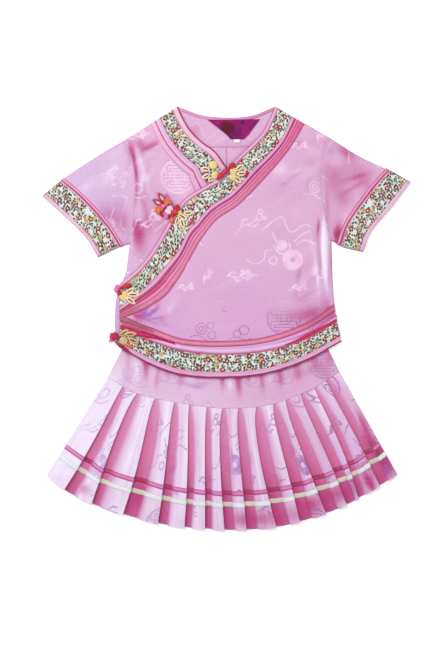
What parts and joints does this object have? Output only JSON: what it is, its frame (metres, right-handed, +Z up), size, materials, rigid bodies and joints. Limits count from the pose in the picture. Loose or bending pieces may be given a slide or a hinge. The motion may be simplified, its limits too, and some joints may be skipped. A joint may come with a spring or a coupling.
{
  "type": "two-piece cheongsam set",
  "caption": "Girl's two-piece cheongsam set laid flat: short-sleeved brocade jacket with slanted floral-trimmed lapel and frog fastenings over a pleated skirt.",
  "frame": {"origin": "on the table, at the bottom centre of the whole set's bounding box", "axes": "+Z up from the table, +Y from the skirt's hem toward the neck, +X toward the wearer's left sleeve"},
  "size_m": [0.5518, 0.6364, 0.0188],
  "materials": {
    "jacket_brocade": "pink-lavender satin brocade with tone-on-tone figures",
    "skirt_brocade": "lavender-pink satin brocade with tone-on-tone figures",
    "satin_tape": "rose satin, folded tape",
    "satin_binding": "pale rose satin binding",
    "floral_cotton": "cream cotton printed with small flowers",
    "label_weave": "woven magenta, bare",
    "tab_weave": "woven white, bare",
    "petal_satin": "cream-gold satin cord",
    "knot_satin": "crimson and magenta satin cord",
    "bud_satin": "coral satin",
    "cream_ribbon": "cream satin ribbon",
    "pink_ribbon": "rose-pink satin ribbon"
  },
  "bodies": {
    "root": {"jacket_back": "jacket_brocade", "jacket_front_over": "jacket_brocade", "jacket_front_under": "jacket_brocade", "sleeve_left": "jacket_brocade", "sleeve_right": "jacket_brocade", "skirt_waistband": "skirt_brocade", "skirt_yoke_back": "skirt_brocade", "skirt_yoke_front": "skirt_brocade", "skirt_pleats_back": "skirt_brocade", "skirt_pleats_front": "skirt_brocade", "neck_tape_right": "satin_tape", "lapel_tape": "satin_tape", "hem_tape": "satin_tape", "cuff_left_tape": "satin_tape", "cuff_right_tape": "satin_tape", "neck_binding_back": "satin_binding", "neck_binding_right": "satin_binding", "lapel_binding": "satin_binding", "lapel_piping": "satin_binding", "hem_binding": "satin_binding", "hem_piping": "satin_binding", "cuff_left_binding": "satin_binding", "cuff_right_binding": "satin_binding", "neck_floral_right": "floral_cotton", "lapel_floral": "floral_cotton", "hem_floral": "floral_cotton", "cuff_left_floral": "floral_cotton", "cuff_right_floral": "floral_cotton", "neck_label": "label_weave", "size_tab": "tab_weave", "frog_neck_petals_right": "petal_satin", "frog_neck_petals_left": "petal_satin", "frog_chest_petals": "petal_satin", "frog_side_petals": "petal_satin", "frog_hem_petals": "petal_satin", "frog_neck_knot": "knot_satin", "frog_chest_knot": "knot_satin", "frog_chest_loops": "knot_satin", "frog_side_knot": "knot_satin", "frog_hem_knot": "knot_satin", "frog_hem_roll": "knot_satin", "frog_side_bud": "bud_satin", "frog_chest_bud_top": "bud_satin", "frog_chest_bud_side": "bud_satin", "frog_chest_bud_foot": "bud_satin", "skirt_ribbon_cream": "cream_ribbon", "skirt_ribbon_pink": "pink_ribbon"}
  },
  "joints": []
}
